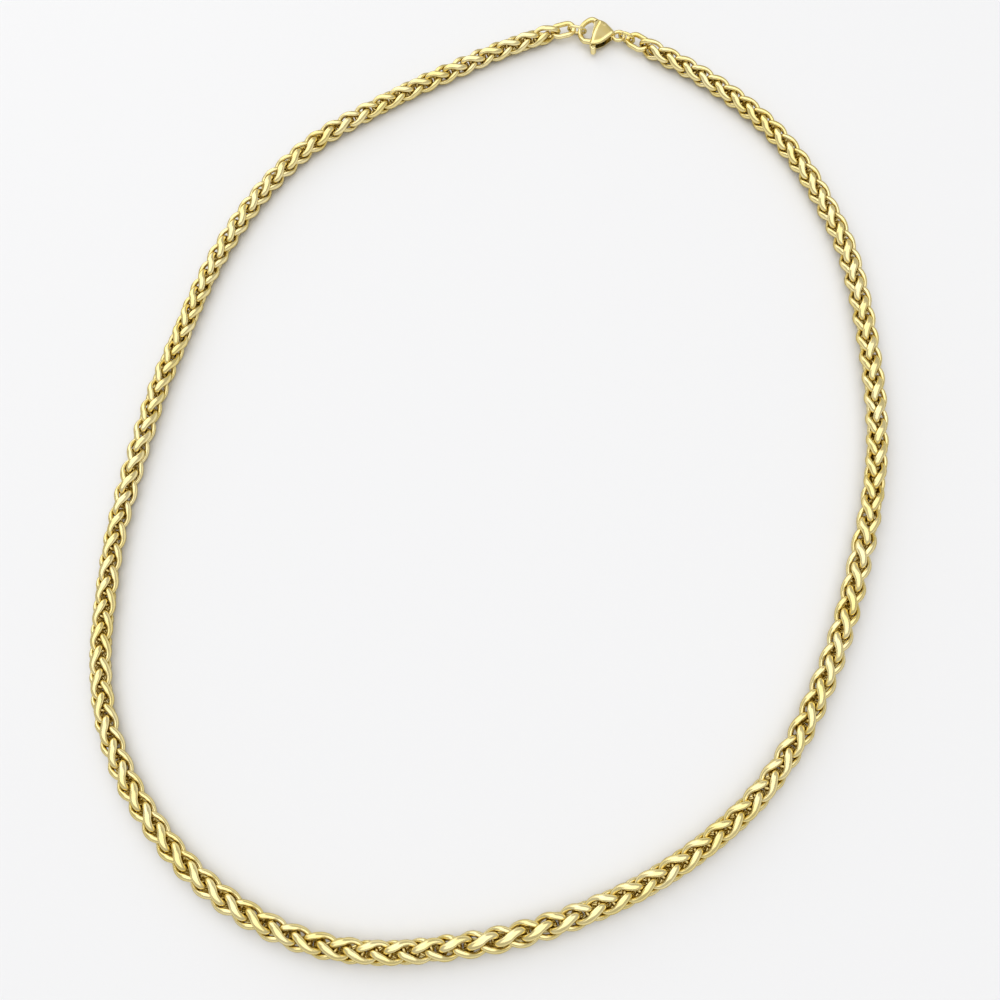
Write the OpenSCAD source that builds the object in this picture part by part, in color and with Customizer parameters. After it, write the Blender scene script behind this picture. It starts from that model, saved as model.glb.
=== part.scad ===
// Wheat chain necklace, lying closed in an oval loop on a flat surface.
// Millimetres, +Z up, +Y towards the clasp. The origin is under the middle of the loop.

/* [Chain] */
// Diameter of the wheat chain over its four strands
chain_d = 4.6; // [4:0.1:5]
// Free gap between the chain's end and the wire of its end link
chain_end_gap = 0.3; // [0.2:0.05:0.6]

/* [End links] */
// Wire diameter of the oval link at each end of the chain
end_wire_d = 1.2; // [0.9:0.05:1.3]
// Radius of an end link's round ends, at the middle of the wire
end_bend_r = 1.6; // [1.4:0.05:2]
// Length of an end link's straight sides
end_side_l = 2; // [1:0.1:3.5]
// Heading of the left end link away from the clasp, from the X axis
left_heading = 208; // [200:1:216]
// Heading of the right end link away from the clasp, from the X axis
right_heading = -27; // [-34:1:-20]
// Lean of both end links about their length
end_lean = 8; // [0:1:12]
// Free gap between an end link's wire and the ring that holds it
link_gap = 0.27; // [0.22:0.01:0.35]

/* [Rings] */
// Wire diameter of the jump ring that the hook holds
hook_ring_wire_d = 0.7; // [0.6:0.05:0.8]
// Radius of the hook's jump ring, at the middle of its wire
hook_ring_r = 2.1; // [2:0.05:2.4]
// Lean of the hook's jump ring, up from the surface
hook_ring_lean = 64; // [60:1:75]
// Wire diameter of the jump ring in the clasp's tail eye
tail_ring_wire_d = 0.8; // [0.6:0.05:0.9]
// Radius of the tail's jump ring, at the middle of its wire
tail_ring_r = 1.8; // [1.75:0.05:2]
// Lean of the tail's jump ring, up from the surface
tail_ring_lean = 75; // [65:1:85]
// Free gap between the hook's bar and the ring inside the hook
hook_slack = 0.3; // [0.25:0.05:0.45]
// Free gap between the tail eye's bar and the ring inside the eye
eye_slack = 0.24; // [0.2:0.01:0.28]
// Free height between the hook's bar and the ring's wire under it
ring_play = 0.55; // [0.5:0.05:0.7]

/* [Clasp] */
// Overall thickness of the clasp's body
clasp_t = 2.6; // [2.4:0.1:2.9]
// Radius of the body's round head
head_r = 3.6; // [3.5:0.05:3.8]
// Radius of the body's narrow rear
rear_r = 1.1; // [0.9:0.1:1.2]
// Distance from the middle of the head to the middle of the rear
body_l = 3.8; // [3.6:0.1:4.4]
// Diameter of the hook's round bar
hook_bar_d = 1.35; // [1.2:0.05:1.5]
// Radius of the hook's wide bend, at the middle of the bar
hook_bend_r = 4.4; // [4.3:0.05:4.5]
// Hole radius of the tail eye
eye_hole_r = 0.9; // [0.8:0.05:1.1]
// Bar diameter of the tail eye
eye_bar_d = 0.9; // [0.7:0.05:1]

/* [Lever] */
// Thickness of the lever between the cheeks
lever_t = 1.1; // [0.8:0.05:1.2]
// Free gap on each side of the lever
lever_side_gap = 0.1; // [0.05:0.01:0.2]
// Free gap between the lever's tip and the end of the hook
seam_gap = 0.15; // [0.1:0.01:0.25]
// Thickness of the thumb tab
tab_t = 2; // [1.6:0.1:2.4]
// Radius of the thumb tab's round end
tab_r = 0.65; // [0.55:0.05:0.8]
// Length that the tab's middle stands out from the head's edge
tab_reach = 1.15; // [1:0.05:1.6]
// Diameter of the pivot pin
pin_d = 0.7; // [0.5:0.05:0.8]
// Radial gap between the pin and the cheeks
pin_seat_gap = 0.01; // [0.01:0.01:0.02]
// Radial gap between the pin and the lever's bore
pin_run_gap = 0.05; // [0.03:0.01:0.08]
// Metal round the lever's bore
lever_eye_wall = 0.35; // [0.3:0.01:0.4]

/* [Hidden] */
$fn = 48;
GOLD = [0.86, 0.74, 0.42];
PALE_GOLD = [0.9, 0.8, 0.5];

// Middle of the clasp's head on the surface
CLASP_AT = [-5.2, 105.45];

// Route of the chain's middle line from the right end link round to the left one
CHAIN_ROUTE = [
    [20, 97.5], [30.5, 91.5], [40.5, 84], [49, 75], [56, 65],
    [62, 54.5], [66.5, 43], [70, 31.5], [73, 19.5], [75, 7.5],
    [75.5, -5], [75, -17], [74, -29.5], [72, -41.5], [69, -53],
    [64, -64.5], [57, -74.5], [48.5, -83.5], [39, -91], [28.5, -97.5],
    [17.5, -102.5], [5.5, -106.5], [-6.5, -107.9], [-18.5, -106.5], [-30.5, -102.5],
    [-41, -96.5], [-50.5, -89], [-58.5, -79.5], [-64, -69], [-68, -57],
    [-71, -45.5], [-73, -33.5], [-74.5, -21], [-75.5, -9], [-75.5, 3.5],
    [-75.5, 15.5], [-74.5, 27.5], [-72, 40], [-68, 51.5], [-62, 62],
    [-54, 71], [-45.5, 79.5], [-36.5, 87.5], [-27, 95.5]
];

// The chain's tube has this many flat sides, with one of them on the surface
TUBE_SIDES = 12;
TUBE_CORNER_R = chain_d / 2 / cos(180 / TUBE_SIDES);

// Clasp, in its own plane: the head's middle is the origin and the tail eye lies along +X
CLASP_Z = hook_ring_wire_d + ring_play + hook_bar_d / 2;
REAR_MID = [body_l, 0];
EYE_MID = [body_l + rear_r + eye_hole_r + 0.2, 0];
EYE_R = eye_hole_r + eye_bar_d / 2;

// Hook: a wide bend, and tighter ones to its straight tip and to its straight heel in the body
HOOK_MID = [0.8, 0.5];
HOOK_TIP_R = 0.9;
HOOK_HEEL_R = 1.1;
TIP_FROM = 62;
HOOK_FROM = 130;
HOOK_TO = 225;
HEEL_TO = 270;
TIP_MID = HOOK_MID + (hook_bend_r - HOOK_TIP_R) * [cos(HOOK_FROM), sin(HOOK_FROM)];
HEEL_MID = HOOK_MID + (hook_bend_r - HOOK_HEEL_R) * [cos(HOOK_TO), sin(HOOK_TO)];
TIP_AT = TIP_MID + HOOK_TIP_R * [cos(TIP_FROM), sin(TIP_FROM)];
TIP_L = 1.6;
HEEL_L = 1.75;

// The cheeks' front edge is an arc of a large circle
FRONT_R = 14;
FRONT_MID = [13.7, -2.5];

// The seam between the hook's end and the lever's tip rises towards the tail
SEAM_ANGLE = 50;
SEAM_REACH = 0.75;
SEAM_REGION = 10;
SEAM_AT = TIP_AT + SEAM_REACH * [sin(TIP_FROM), -cos(TIP_FROM)];

// Lever: the pivot's place, the leg's middle line and the tab's middle
PIVOT = [2.1, 1.8];
LEG_X = 0.9;
LEG_W = 0.8;
LEG_ROOM = 0.25;
SLOT_FROM = LEG_X - LEG_W / 2 - LEG_ROOM;
SLOT_FAR = [-4, 5];
TAB_MID = [LEG_X, -sqrt(pow(head_r, 2) - pow(LEG_X, 2)) - tab_reach];
LEVER_EYE_R = pin_d / 2 + pin_run_gap + lever_eye_wall;
SLOT_T = lever_t + 2 * lever_side_gap;

// Places of the rings and end links, one after the other from the clasp outwards
HOOK_RING_AT = CLASP_AT + HOOK_MID + [
    -hook_bend_r + hook_bar_d / 2 + hook_slack + hook_ring_wire_d / 2 - hook_ring_r, -0.5];
HOOK_RING_Z = hook_ring_r * sin(hook_ring_lean) + hook_ring_wire_d / 2;
TAIL_RING_HEADING = -12;
TAIL_RING_AT = CLASP_AT + EYE_MID + [
    EYE_R - eye_bar_d / 2 - eye_slack - tail_ring_wire_d / 2 + tail_ring_r, -0.4];
TAIL_RING_Z = tail_ring_r * sin(tail_ring_lean) + tail_ring_wire_d / 2;
END_REACH = end_side_l / 2 + end_bend_r;
LEFT_WAY = [cos(left_heading), sin(left_heading)];
RIGHT_WAY = [cos(right_heading), sin(right_heading)];
LEFT_MID = HOOK_RING_AT - [hook_ring_r, 0]
    + (END_REACH - (hook_ring_wire_d + end_wire_d) / 2 - link_gap) * LEFT_WAY;
RIGHT_MID = TAIL_RING_AT
    + tail_ring_r * [cos(TAIL_RING_HEADING), sin(TAIL_RING_HEADING)]
    + (END_REACH - (tail_ring_wire_d + end_wire_d) / 2 - link_gap) * RIGHT_WAY;
CHAIN_OFFSET = END_REACH + end_wire_d / 2 + chain_end_gap;
CHAIN_FROM = RIGHT_MID + CHAIN_OFFSET * RIGHT_WAY;
CHAIN_TO = LEFT_MID + CHAIN_OFFSET * LEFT_WAY;

// Heading of the route at point i, the mean of the stretches before and after it
function heading(path, i) =
    let (
        before = path[max(i - 1, 0)],
        after = path[min(i + 1, len(path) - 1)]
    )
    atan2(after[1] - before[1], after[0] - before[0]);

// One ring of the tube's corners at point i of the route
function tube_ring(path, i) =
    let (turn = heading(path, i))
    [for (k = [0 : TUBE_SIDES - 1])
        let (
            a = (k + 0.5) * 360 / TUBE_SIDES,
            side = TUBE_CORNER_R * sin(a),
            up = TUBE_CORNER_R * cos(a)
        )
        [path[i][0] - side * sin(turn), path[i][1] + side * cos(turn), chain_d / 2 + up]
    ];

// The whole chain as a tube along its route
module wheat_chain() {
    path = concat([CHAIN_FROM], CHAIN_ROUTE, [CHAIN_TO]);
    rings = len(path);
    corners = [for (i = [0 : rings - 1]) each tube_ring(path, i)];
    walls = [
        for (i = [0 : rings - 2])
            for (k = [0 : TUBE_SIDES - 1])
                let (n = (k + 1) % TUBE_SIDES, a = i * TUBE_SIDES, b = a + TUBE_SIDES)
                [a + k, b + k, b + n, a + n]
    ];
    first_cap = [for (k = [0 : TUBE_SIDES - 1]) k];
    last_cap = [for (k = [TUBE_SIDES - 1 : -1 : 0]) (rings - 1) * TUBE_SIDES + k];
    color(GOLD)
    polyhedron(corners, concat(walls, [first_cap, last_cap]));
}

// An oval wire link, flat in the XY plane with its length along X
module oval_link(wire_d, bend_r, side_l) {
    for (end = [0, 1])
        rotate(180 * end)
        translate([side_l / 2, 0])
        rotate(-90)
        rotate_extrude(angle = 180)
        translate([bend_r, 0])
        circle(d = wire_d);
    for (side = [-1, 1])
        translate([-side_l / 2, side * bend_r])
        rotate([0, 90, 0])
        cylinder(h = side_l, d = wire_d);
}

module end_link_left() {
    color(PALE_GOLD)
    translate([LEFT_MID[0], LEFT_MID[1], HOOK_RING_Z])
    rotate(left_heading)
    rotate([-end_lean, 0, 0])
    oval_link(end_wire_d, end_bend_r, end_side_l);
}

module end_link_right() {
    color(PALE_GOLD)
    translate([RIGHT_MID[0], RIGHT_MID[1], TAIL_RING_Z])
    rotate(right_heading)
    rotate([end_lean, 0, 0])
    oval_link(end_wire_d, end_bend_r, end_side_l);
}

// A round wire ring whose plane leans up from the surface about the X axis
module jump_ring(wire_d, ring_r, lean) {
    rotate([-lean, 0, 0])
    rotate_extrude()
    translate([ring_r, 0])
    circle(d = wire_d);
}

module hook_ring() {
    color(PALE_GOLD)
    translate([HOOK_RING_AT[0], HOOK_RING_AT[1], HOOK_RING_Z])
    jump_ring(hook_ring_wire_d, hook_ring_r, hook_ring_lean);
}

module tail_ring() {
    color(PALE_GOLD)
    translate([TAIL_RING_AT[0], TAIL_RING_AT[1], TAIL_RING_Z])
    rotate(TAIL_RING_HEADING)
    jump_ring(tail_ring_wire_d, tail_ring_r, tail_ring_lean);
}

// Puts the clasp's own plane at its place above the surface
module at_clasp() {
    translate([CLASP_AT[0], CLASP_AT[1], CLASP_Z])
    children();
}

// Teardrop outline of the cheeks: a round head, a narrow rear and the two tangents between
module cheek_outline() {
    slope = asin((head_r - rear_r) / body_l);
    touch = [sin(slope), cos(slope)];
    intersection() {
        union() {
            circle(head_r);
            translate(REAR_MID)
            circle(rear_r);
            polygon([
                [head_r * touch[0], head_r * touch[1]],
                [body_l + rear_r * touch[0], rear_r * touch[1]],
                [body_l + rear_r * touch[0], -rear_r * touch[1]],
                [head_r * touch[0], -head_r * touch[1]]
            ]);
        }
        translate(FRONT_MID)
        circle(FRONT_R, $fn = 96);
    }
}

// Room between the cheeks that the lever swings in
module slot_outline() {
    polygon([
        [SLOT_FAR[0], SLOT_FAR[1]], [2.9, SLOT_FAR[1]], [3.15, 2.2], [3.65, 0.2], [4.1, -0.7],
        [5, -2.4], [5, -7], [SLOT_FROM, -7], [SLOT_FROM, -2.3], [SLOT_FAR[0], -1.5]
    ]);
}

// The side of the seam that belongs to the lever
module seam_side(gap) {
    translate(SEAM_AT)
    rotate(SEAM_ANGLE)
    translate([-SEAM_REGION / 2, -SEAM_REGION - gap])
    square(SEAM_REGION);
}

// A bend of the hook's bar, from one angle to another
module hook_bend(mid, bend_r, from, to) {
    translate(mid)
    rotate(from)
    rotate_extrude(angle = to - from)
    translate([bend_r, 0])
    circle(d = hook_bar_d);
}

module hook_bar() {
    hook_bend(TIP_MID, HOOK_TIP_R, TIP_FROM, HOOK_FROM);
    hook_bend(HOOK_MID, hook_bend_r, HOOK_FROM, HOOK_TO);
    hook_bend(HEEL_MID, HOOK_HEEL_R, HOOK_TO, HEEL_TO);
    translate([HEEL_MID[0], HEEL_MID[1] - HOOK_HEEL_R])
    rotate([0, 90, 0])
    cylinder(h = HEEL_L, d = hook_bar_d);
    difference() {
        translate(TIP_AT)
        rotate([0, 90, TIP_FROM - 90])
        cylinder(h = TIP_L, d = hook_bar_d);
        linear_extrude(2 * clasp_t, center = true)
        seam_side(0);
    }
}

module tail_eye() {
    translate(EYE_MID)
    rotate_extrude()
    translate([EYE_R, 0])
    circle(d = eye_bar_d);
}

module clasp_body() {
    color(GOLD)
    at_clasp()
    difference() {
        union() {
            difference() {
                linear_extrude(clasp_t, center = true)
                cheek_outline();
                linear_extrude(SLOT_T, center = true)
                slot_outline();
            }
            hook_bar();
            tail_eye();
        }
        translate(PIVOT)
        cylinder(h = 2 * clasp_t, r = pin_d / 2 + pin_seat_gap, center = true);
    }
}

// Blade of the lever: its tip at the seam, its front edge along the hook's mouth and its leg
module blade_outline() {
    difference() {
        union() {
            translate(PIVOT)
            circle(LEVER_EYE_R);
            intersection() {
                polygon([
                    [0.15, 4.2], [-1.1, 3], [-0.72, 2.6], [-0.55, 1.8], [-0.5, 0.6], [-0.42, -0.7],
                    [0.4, -1.9], [LEG_X - LEG_W / 2, -2.6], [LEG_X + LEG_W / 2, -2.6],
                    [LEG_X + LEG_W / 2, -1.4], PIVOT + [0.55, -0.5], PIVOT + [0.1, LEVER_EYE_R],
                    [1.3, 3.05], [0.9, 3.45]
                ]);
                seam_side(seam_gap);
            }
            translate([LEG_X - LEG_W / 2, TAB_MID[1]])
            square([LEG_W, -TAB_MID[1] - 2.5]);
        }
        translate(PIVOT)
        circle(pin_d / 2 + pin_run_gap);
    }
}

module clasp_lever() {
    color(PALE_GOLD)
    at_clasp() {
        linear_extrude(lever_t, center = true)
        blade_outline();
        translate(TAB_MID)
        cylinder(h = tab_t, r = tab_r, center = true);
    }
}

module clasp_pin() {
    color(PALE_GOLD)
    at_clasp()
    translate(PIVOT)
    cylinder(h = clasp_t, d = pin_d, center = true);
}

wheat_chain();
end_link_left();
end_link_right();
hook_ring();
tail_ring();
clasp_body();
clasp_lever();
clasp_pin();
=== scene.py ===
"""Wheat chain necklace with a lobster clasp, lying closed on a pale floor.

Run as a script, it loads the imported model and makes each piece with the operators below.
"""

import math
from types import SimpleNamespace

import bmesh
import bpy
import numpy as np
from mathutils import Matrix, Vector


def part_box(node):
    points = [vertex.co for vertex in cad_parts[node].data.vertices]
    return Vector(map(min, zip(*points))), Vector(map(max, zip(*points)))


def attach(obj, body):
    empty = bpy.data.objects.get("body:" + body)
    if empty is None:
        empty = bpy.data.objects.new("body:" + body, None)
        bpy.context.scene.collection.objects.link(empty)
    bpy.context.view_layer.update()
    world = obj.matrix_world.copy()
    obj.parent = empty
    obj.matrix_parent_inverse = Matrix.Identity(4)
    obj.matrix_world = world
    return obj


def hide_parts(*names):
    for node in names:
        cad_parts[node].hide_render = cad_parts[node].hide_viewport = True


bl_info = {
    "name": "Wheat Chain Necklace",
    "version": (1, 0, 0),
    "blender": (4, 5, 0),
    "location": "View3D > Sidebar > Necklace",
    "description": "Makes a gold wheat chain necklace with a lobster clasp",
    "category": "Add Mesh",
}

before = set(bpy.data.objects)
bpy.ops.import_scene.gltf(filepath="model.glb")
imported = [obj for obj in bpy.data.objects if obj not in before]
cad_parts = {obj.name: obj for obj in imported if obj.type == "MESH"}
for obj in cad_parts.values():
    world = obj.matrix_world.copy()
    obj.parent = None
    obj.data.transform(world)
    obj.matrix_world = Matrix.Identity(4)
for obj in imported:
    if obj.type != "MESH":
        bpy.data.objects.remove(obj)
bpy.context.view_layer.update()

MM = 0.001

# Middle line of the chain from the right end link round to the left one, in millimetres
CHAIN_ROUTE = [
    (20, 97.5), (30.5, 91.5), (40.5, 84), (49, 75), (56, 65),
    (62, 54.5), (66.5, 43), (70, 31.5), (73, 19.5), (75, 7.5),
    (75.5, -5), (75, -17), (74, -29.5), (72, -41.5), (69, -53),
    (64, -64.5), (57, -74.5), (48.5, -83.5), (39, -91), (28.5, -97.5),
    (17.5, -102.5), (5.5, -106.5), (-6.5, -107.9), (-18.5, -106.5), (-30.5, -102.5),
    (-41, -96.5), (-50.5, -89), (-58.5, -79.5), (-64, -69), (-68, -57),
    (-71, -45.5), (-73, -33.5), (-74.5, -21), (-75.5, -9), (-75.5, 3.5),
    (-75.5, 15.5), (-74.5, 27.5), (-72, 40), (-68, 51.5), (-62, 62),
    (-54, 71), (-45.5, 79.5), (-36.5, 87.5), (-27, 95.5),
]

# How far the chain is rolled about its middle line: share of its length, degrees
CHAIN_ROLL = [
    (0.00, 94), (0.03, 102), (0.06, 89), (0.10, 71), (0.14, 55), (0.18, 37), (0.215, 27),
    (0.24, 2), (0.265, -38), (0.28, -44), (0.32, -52), (0.34, -76), (0.37, -90), (0.41, -95),
    (0.43, -70), (0.45, -44), (0.47, -12), (0.49, 4), (0.52, 34), (0.55, 56), (0.58, 61),
    (0.60, 52), (0.62, 31), (0.65, 23), (0.67, 35), (0.695, 43), (0.715, 75), (0.73, 92),
    (0.75, 100), (0.78, 120), (0.81, 143), (0.85, 159), (0.89, 180), (0.92, 218), (0.95, 250),
    (0.97, 245), (1.00, 205),
]
# Share of the chain's length over which the roll is eased, and the step of the easing
ROLL_EASE = 0.04
ROLL_STEP = 0.001
# The straight run that the chain's middle line is given before and after its ends
LEAD = 12 * MM
# How far to each side the chain's heading is measured
LOOK = 0.5 * MM

# Headings in degrees from the X axis, and leans in degrees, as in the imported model
LEFT_HEADING = 208
RIGHT_HEADING = -27
END_LEAN = 8
HOOK_RING_LEAN = 64
TAIL_RING_LEAN = 75
TAIL_RING_HEADING = -12

# Clasp, in millimetres in its own plane: the head's middle is the origin, the tail is along +X
PIVOT = (2.1, 1.8)
EYE_MID = (6.0, 0.0)
HEAD_MID = (0.0, -0.4)
# Arc of the cheeks' arched front, and the point inside the cheeks that their outline goes round
FRONT_MID = (22.7, -2.0)
FRONT_R = 23.0
CHEEK_MID = (1.6, 0.0)
# Hook: its wide bend runs between two angles, then comes a tight bend at the tip and at the heel
HOOK_MID = (0.8, 0.5)
HOOK_FROM = 130
HOOK_TO = 225
TIP_R = 0.9
TIP_FROM = 62
HEEL_R = 1.1
HEEL_RUN = 1.6
# Seam between the hook's end and the lever: its angle, and how far past the tight bend it lies
SEAM_ANGLE = 50
SEAM_REACH = 0.75
# Room that the lever swings in, from the leg's lower right round to the front, and its corner
SLOT_SIDES = [
    (5, -7), (5, -2.4), (4.1, -0.7), (3.65, 0.2), (3.15, 2.2), (2.9, 5), (-4, 5), (-4, -1.5),
]
SLOT_CORNER = -2.3
# The lever's blade: its side along the mouth, downwards, and its side over the pivot, upwards
BLADE_FRONT = [(-0.72, 2.6), (-0.55, 1.8), (-0.5, 0.6), (-0.42, -0.7), (0.4, -1.9)]
BLADE_TOP = [(1.3, 3.05), (0.9, 3.45)]
# Ends of the blade from the middle of the seam, downwards and upwards
BLADE_END = (0.68, 0.6)
# The blade's lower end on the leg, and where the leg's right side leaves the blade
BLADE_LOW = -2.6
BLADE_REAR = -1.4
# Room round the lever's leg, round the pin in the cheeks and round the pin in the lever
LEG_ROOM = 0.25
PIN_ROOM = 0.02
BORE_ROOM = 0.05
# Wall of the lever's boss round the pin
BOSS_WALL = 0.35


def middle_of(node):
    """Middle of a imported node's box, in metres."""
    low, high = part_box(node)
    return (low + high) / 2


def unit(degrees):
    """Flat direction at an angle from the X axis."""
    angle = math.radians(degrees)
    return Vector((math.cos(angle), math.sin(angle), 0))


def set_at(node, heading, lean):
    """Matrix that sets a flat ring, leaning and turned in degrees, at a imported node's middle."""
    turn = Matrix.Rotation(math.radians(heading), 4, "Z")
    tip = Matrix.Rotation(math.radians(lean), 4, "X")
    return Matrix.Translation(middle_of(node)) @ turn @ tip


class ChainSizes(bpy.types.PropertyGroup):
    """Sizes of the wheat chain's links"""

    outer: bpy.props.FloatProperty(
        name="Chain diameter", description="Diameter over the four strands",
        default=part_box("wheat_chain")[1].z, min=0.001, unit="LENGTH")
    wire_depth: bpy.props.FloatProperty(
        name="Wire depth", description="Thickness of a link's wire towards the chain's middle",
        default=1.05 * MM, min=0.0002, unit="LENGTH")
    wire_width: bpy.props.FloatProperty(
        name="Wire width",
        description="Width of a link's wire at its ends, along the chain's surface",
        default=1.2 * MM, min=0.0002, unit="LENGTH")
    wire_swell: bpy.props.FloatProperty(
        name="Wire swell",
        description="How much broader the wire is in the middle of a link's sides",
        subtype="FACTOR", default=0.3, min=0, max=1)
    link_reach: bpy.props.FloatProperty(
        name="Link reach", description="Half the length of a link, at the middle of its wire",
        default=3.0 * MM, min=0.001, unit="LENGTH")
    pitch: bpy.props.FloatProperty(
        name="Pitch", description="Distance from a link to the next one of the same hand",
        default=4.8 * MM, min=0.001, unit="LENGTH")
    wire_steps: bpy.props.IntProperty(
        name="Wire steps", description="Sections along each link's wire", default=32, min=16)
    wire_sides: bpy.props.IntProperty(
        name="Wire sides", description="Points round each link's wire", default=12, min=8)


class RingSizes(bpy.types.PropertyGroup):
    """Sizes of the end links and jump rings"""

    end_wire: bpy.props.FloatProperty(
        name="End link wire", description="Wire diameter of the two end links",
        default=1.2 * MM, unit="LENGTH")
    end_bend: bpy.props.FloatProperty(
        name="End link bend", description="Radius of an end link's round ends",
        default=1.6 * MM, unit="LENGTH")
    end_side: bpy.props.FloatProperty(
        name="End link side", description="Length of an end link's straight sides",
        default=2.0 * MM, unit="LENGTH")
    hook_wire: bpy.props.FloatProperty(
        name="Hook ring wire", description="Wire diameter of the ring that the hook holds",
        default=0.7 * MM, unit="LENGTH")
    hook_radius: bpy.props.FloatProperty(
        name="Hook ring radius", description="Radius of the hook's ring at its wire's middle",
        default=2.1 * MM, unit="LENGTH")
    tail_wire: bpy.props.FloatProperty(
        name="Tail ring wire", description="Wire diameter of the ring in the tail eye",
        default=0.8 * MM, unit="LENGTH")
    tail_radius: bpy.props.FloatProperty(
        name="Tail ring radius", description="Radius of the tail's ring at its wire's middle",
        default=1.8 * MM, unit="LENGTH")


class ClaspSizes(bpy.types.PropertyGroup):
    """Sizes of the lobster clasp"""

    thick: bpy.props.FloatProperty(
        name="Thickness", description="Thickness of the clasp's body",
        default=2.6 * MM, unit="LENGTH")
    head: bpy.props.FloatProperty(
        name="Head radius", description="Radius of the body's round head",
        default=4.0 * MM, unit="LENGTH")
    rear: bpy.props.FloatProperty(
        name="Rear radius", description="Radius of the body's narrow rear",
        default=1.1 * MM, unit="LENGTH")
    length: bpy.props.FloatProperty(
        name="Body length", description="From the middle of the head to that of the rear",
        default=3.8 * MM, unit="LENGTH")
    rounding: bpy.props.FloatProperty(
        name="Rounding", description="Width of the polished round edge of the cheeks",
        default=1.0 * MM, unit="LENGTH")
    slot: bpy.props.FloatProperty(
        name="Slot", description="Width of the slot between the cheeks",
        default=1.3 * MM, unit="LENGTH")
    bar: bpy.props.FloatProperty(
        name="Hook bar", description="Diameter of the hook's bar where it leaves the body",
        default=1.4 * MM, unit="LENGTH")
    bar_front: bpy.props.FloatProperty(
        name="Hook bar at the front", description="Diameter of the hook's bar at its thinnest",
        default=1.15 * MM, unit="LENGTH")
    bend: bpy.props.FloatProperty(
        name="Hook bend", description="Radius of the hook's wide bend",
        default=4.4 * MM, unit="LENGTH")
    eye: bpy.props.FloatProperty(
        name="Tail eye", description="Radius of the tail eye at the middle of its bar",
        default=1.35 * MM, unit="LENGTH")
    eye_bar: bpy.props.FloatProperty(
        name="Tail eye bar", description="Diameter of the tail eye's bar",
        default=0.9 * MM, unit="LENGTH")
    lever: bpy.props.FloatProperty(
        name="Lever thickness", description="Thickness of the lever between the cheeks",
        default=1.1 * MM, unit="LENGTH")
    seam: bpy.props.FloatProperty(
        name="Seam", description="Gap between the hook's end and the lever's tip",
        default=0.15 * MM, unit="LENGTH")
    leg_at: bpy.props.FloatProperty(
        name="Leg place", description="Distance of the lever's leg from the head's middle",
        default=0.9 * MM, unit="LENGTH")
    leg: bpy.props.FloatProperty(
        name="Leg width", description="Width of the lever's leg", default=0.8 * MM, unit="LENGTH")
    tab: bpy.props.FloatProperty(
        name="Thumb tab", description="Radius of the thumb tab's round end",
        default=0.65 * MM, unit="LENGTH")
    tab_thick: bpy.props.FloatProperty(
        name="Tab thickness", description="Thickness of the thumb tab",
        default=2.0 * MM, unit="LENGTH")
    tab_reach: bpy.props.FloatProperty(
        name="Tab reach", description="How far the tab's middle stands out from the head",
        default=1.05 * MM, unit="LENGTH")
    pin: bpy.props.FloatProperty(
        name="Pin", description="Diameter of the pivot pin", default=0.7 * MM, unit="LENGTH")


class GoldLooks(bpy.types.PropertyGroup):
    """Colours and polish of the gold"""

    light: bpy.props.FloatVectorProperty(
        name="Light gold", description="Colour of the bright polished gold",
        subtype="COLOR", size=4, default=(0.95, 0.825, 0.45, 1))
    deep: bpy.props.FloatVectorProperty(
        name="Deep gold", description="Colour of the gold where it is a little darker",
        subtype="COLOR", size=4, default=(0.88, 0.73, 0.30, 1))
    # Painted shade: the colour that the gold is darkened to between the links and in other hollows
    crevice_shade: bpy.props.FloatVectorProperty(
        name="Crevice Shade", description="Colour of the gold deep between the links",
        subtype="COLOR", size=4, default=(0.5, 0.36, 0.1, 1))
    polish: bpy.props.FloatProperty(
        name="Polish", description="Roughness of the polished gold", subtype="FACTOR",
        default=0.22, min=0, max=1)
    edge: bpy.props.FloatVectorProperty(
        name="Edge", description="Tint of the reflection where the gold turns away",
        subtype="COLOR", size=4, default=(0.42, 0.34, 0.14, 1))
    satin: bpy.props.FloatProperty(
        name="Satin", description="Roughness of the clasp's brushed cheeks", subtype="FACTOR",
        default=0.4, min=0, max=1)
    satin_tone: bpy.props.FloatVectorProperty(
        name="Satin tone", description="How much the brushed cheeks darken the gold",
        subtype="COLOR", size=4, default=(0.72, 0.69, 0.60, 1))


class StageLooks(bpy.types.PropertyGroup):
    """Floor, lights and camera"""

    floor: bpy.props.FloatVectorProperty(
        name="Floor", description="Colour of the floor",
        subtype="COLOR", size=4, default=(0.845, 0.85, 0.865, 1))
    overhead: bpy.props.FloatProperty(
        name="Overhead light", description="Power of the large light above", unit="POWER",
        default=16.5)
    key: bpy.props.FloatProperty(
        name="Key light", description="Power of the smaller light on the left behind",
        unit="POWER", default=5)
    sky: bpy.props.FloatProperty(
        name="Sky", description="Strength of the even light all round", default=0.54)


# How far the painted shade in the crevices reaches on the links, the jump rings and the clasp
LINK_SHADE_REACH = 1.3 * MM
RING_SHADE_REACH = 1.0 * MM
CLASP_SHADE_REACH = 0.9 * MM
# Tone patches to a metre on the links and on the clasp
LINK_PATCHES = 160
CLASP_PATCHES = 200
# Depth of the marks on polished gold and on brushed gold
FINE_MARKS = 2e-6
BRUSH_MARKS = 4e-6

# Edges that bend by more than this many degrees are shaded sharp
CLASP_SHARP = 45
RING_SHARP = 60

# Camera, in metres and degrees, where the photograph was taken from
CAMERA_AT = (0.04664, -0.09854, 0.20495)
CAMERA_HEADING = 28.0
CAMERA_ELEVATION = 66.15
CAMERA_ROLL = -14.04
CAMERA_LENS = 39.61


def add_mesh(name, points, faces, smooth=True):
    """A new object from points in metres and faces, linked to the scene."""
    mesh = bpy.data.meshes.new(name)
    mesh.from_pydata([tuple(p) for p in points], [], faces)
    mesh.validate()
    if smooth:
        mesh.shade_smooth()
    piece = bpy.data.objects.new(name, mesh)
    bpy.context.scene.collection.objects.link(piece)
    return piece


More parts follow.
